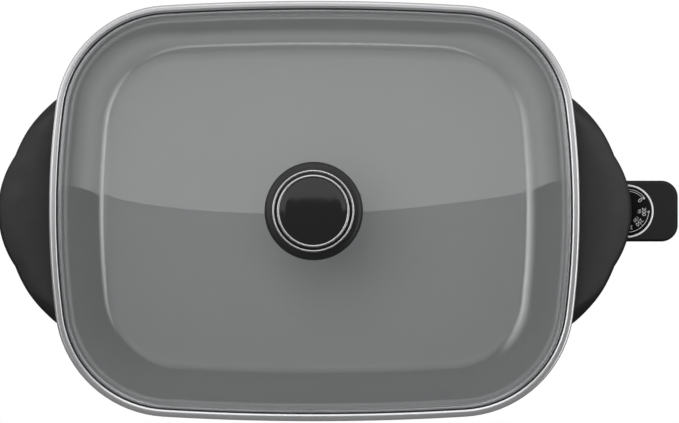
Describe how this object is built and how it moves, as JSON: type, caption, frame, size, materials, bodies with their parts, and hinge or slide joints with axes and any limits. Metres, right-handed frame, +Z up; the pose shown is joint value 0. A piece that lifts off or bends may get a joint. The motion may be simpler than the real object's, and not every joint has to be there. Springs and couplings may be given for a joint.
{
  "type": "electric skillet",
  "caption": "Rectangular electric skillet: cast pan with crescent handles on legs, lift-off glass lid with a round knob, and a plug-in temperature control with a numbered dial.",
  "frame": {"origin": "on the table top, under the middle of the whole object's length and width", "axes": "+X along the pan towards the temperature control, +Y to the rear, +Z up"},
  "size_m": [0.5286, 0.3166, 0.1711],
  "materials": {
    "pan_coating": "die-cast aluminium with a satin non-stick coating",
    "element_sheath": "oxidised steel sheath",
    "band_steel": "brushed stainless",
    "guard_steel": "plain pressed steel",
    "bright_steel": "bright plated steel",
    "satin_trim": "satin anodised ring",
    "lid_glass": "clear tempered glass",
    "handle_plastic": "fine grained heat resistant plastic",
    "knob_plastic": "polished plastic",
    "control_plastic": "satin moulded plastic",
    "contact_brass": "plain brass strip",
    "ceramic_white": "unglazed ceramic",
    "black_rubber": "matt rubber",
    "seal_rubber": "translucent silicone rubber"
  },
  "bodies": {
    "skillet": {"pan": "pan_coating", "heating_element": "element_sheath", "terminal_pin_front": "bright_steel", "terminal_pin_rear": "bright_steel", "element_seal_front": "ceramic_white", "element_seal_rear": "ceramic_white", "probe_guard": "guard_steel", "guard_screw_front": "bright_steel", "guard_screw_rear": "bright_steel", "right_handle": "handle_plastic", "right_grip_plate": "handle_plastic", "right_handle_screw_front": "bright_steel", "right_handle_screw_rear": "bright_steel", "right_grip_screw_front": "bright_steel", "right_grip_screw_rear": "bright_steel", "right_foot_front": "black_rubber", "right_foot_rear": "black_rubber", "left_handle": "handle_plastic", "left_grip_plate": "handle_plastic", "left_handle_screw_front": "bright_steel", "left_handle_screw_rear": "bright_steel", "left_grip_screw_front": "bright_steel", "left_grip_screw_rear": "bright_steel", "left_foot_front": "black_rubber", "left_foot_rear": "black_rubber"},
    "lid": {"lid_rim": "band_steel", "lid_glass": "lid_glass", "knob_base": "handle_plastic", "knob_body": "knob_plastic", "knob_trim_ring": "satin_trim", "knob_cap_ring": "satin_trim", "knob_cap": "knob_plastic", "knob_gasket": "seal_rubber", "knob_washer": "bright_steel", "knob_screw": "bright_steel"},
    "control": {"casing_base": "control_plastic", "casing_cover": "control_plastic", "casing_screw_1": "bright_steel", "casing_screw_2": "bright_steel", "casing_screw_3": "bright_steel", "casing_screw_4": "bright_steel", "socket_block": "control_plastic", "socket_contact_front": "contact_brass", "socket_contact_rear": "contact_brass", "sensor_rod": "bright_steel", "thermostat_frame": "guard_steel", "contact_stack": "ceramic_white", "bimetal_blade": "contact_brass", "terminal_block": "ceramic_white", "busbar_front": "contact_brass", "busbar_rear": "contact_brass", "cord_gland": "black_rubber", "dial_bezel": "satin_trim"},
    "dial": {"dial": "knob_plastic", "dial_spindle": "bright_steel"},
    "contact_arm": {"contact_arm": "contact_brass"}
  },
  "joints": [
    {"name": "lid_lift", "type": "slide", "parent": "skillet", "child": "lid", "axis": [0, 0, 1], "range_m": [0, 0.15]},
    {"name": "control_unplug", "type": "slide", "parent": "skillet", "child": "control", "axis": [1, 0, 0], "range_m": [0, 0.12]},
    {"name": "dial_turn", "type": "hinge", "parent": "control", "child": "dial", "pos_m": [0.2235, 0, 0.048], "axis": [0, 0, 1], "range_deg": [0, 300]},
    {"name": "arm_bend", "type": "hinge", "parent": "control", "child": "contact_arm", "pos_m": [0.2303, 0, 0.0279], "axis": [0, -1, 0], "range_deg": [0, 2.5]}
  ],
  "couplings": [
    {"joint": "arm_bend", "follows": "dial_turn", "ratio": 0.0083333}
  ]
}
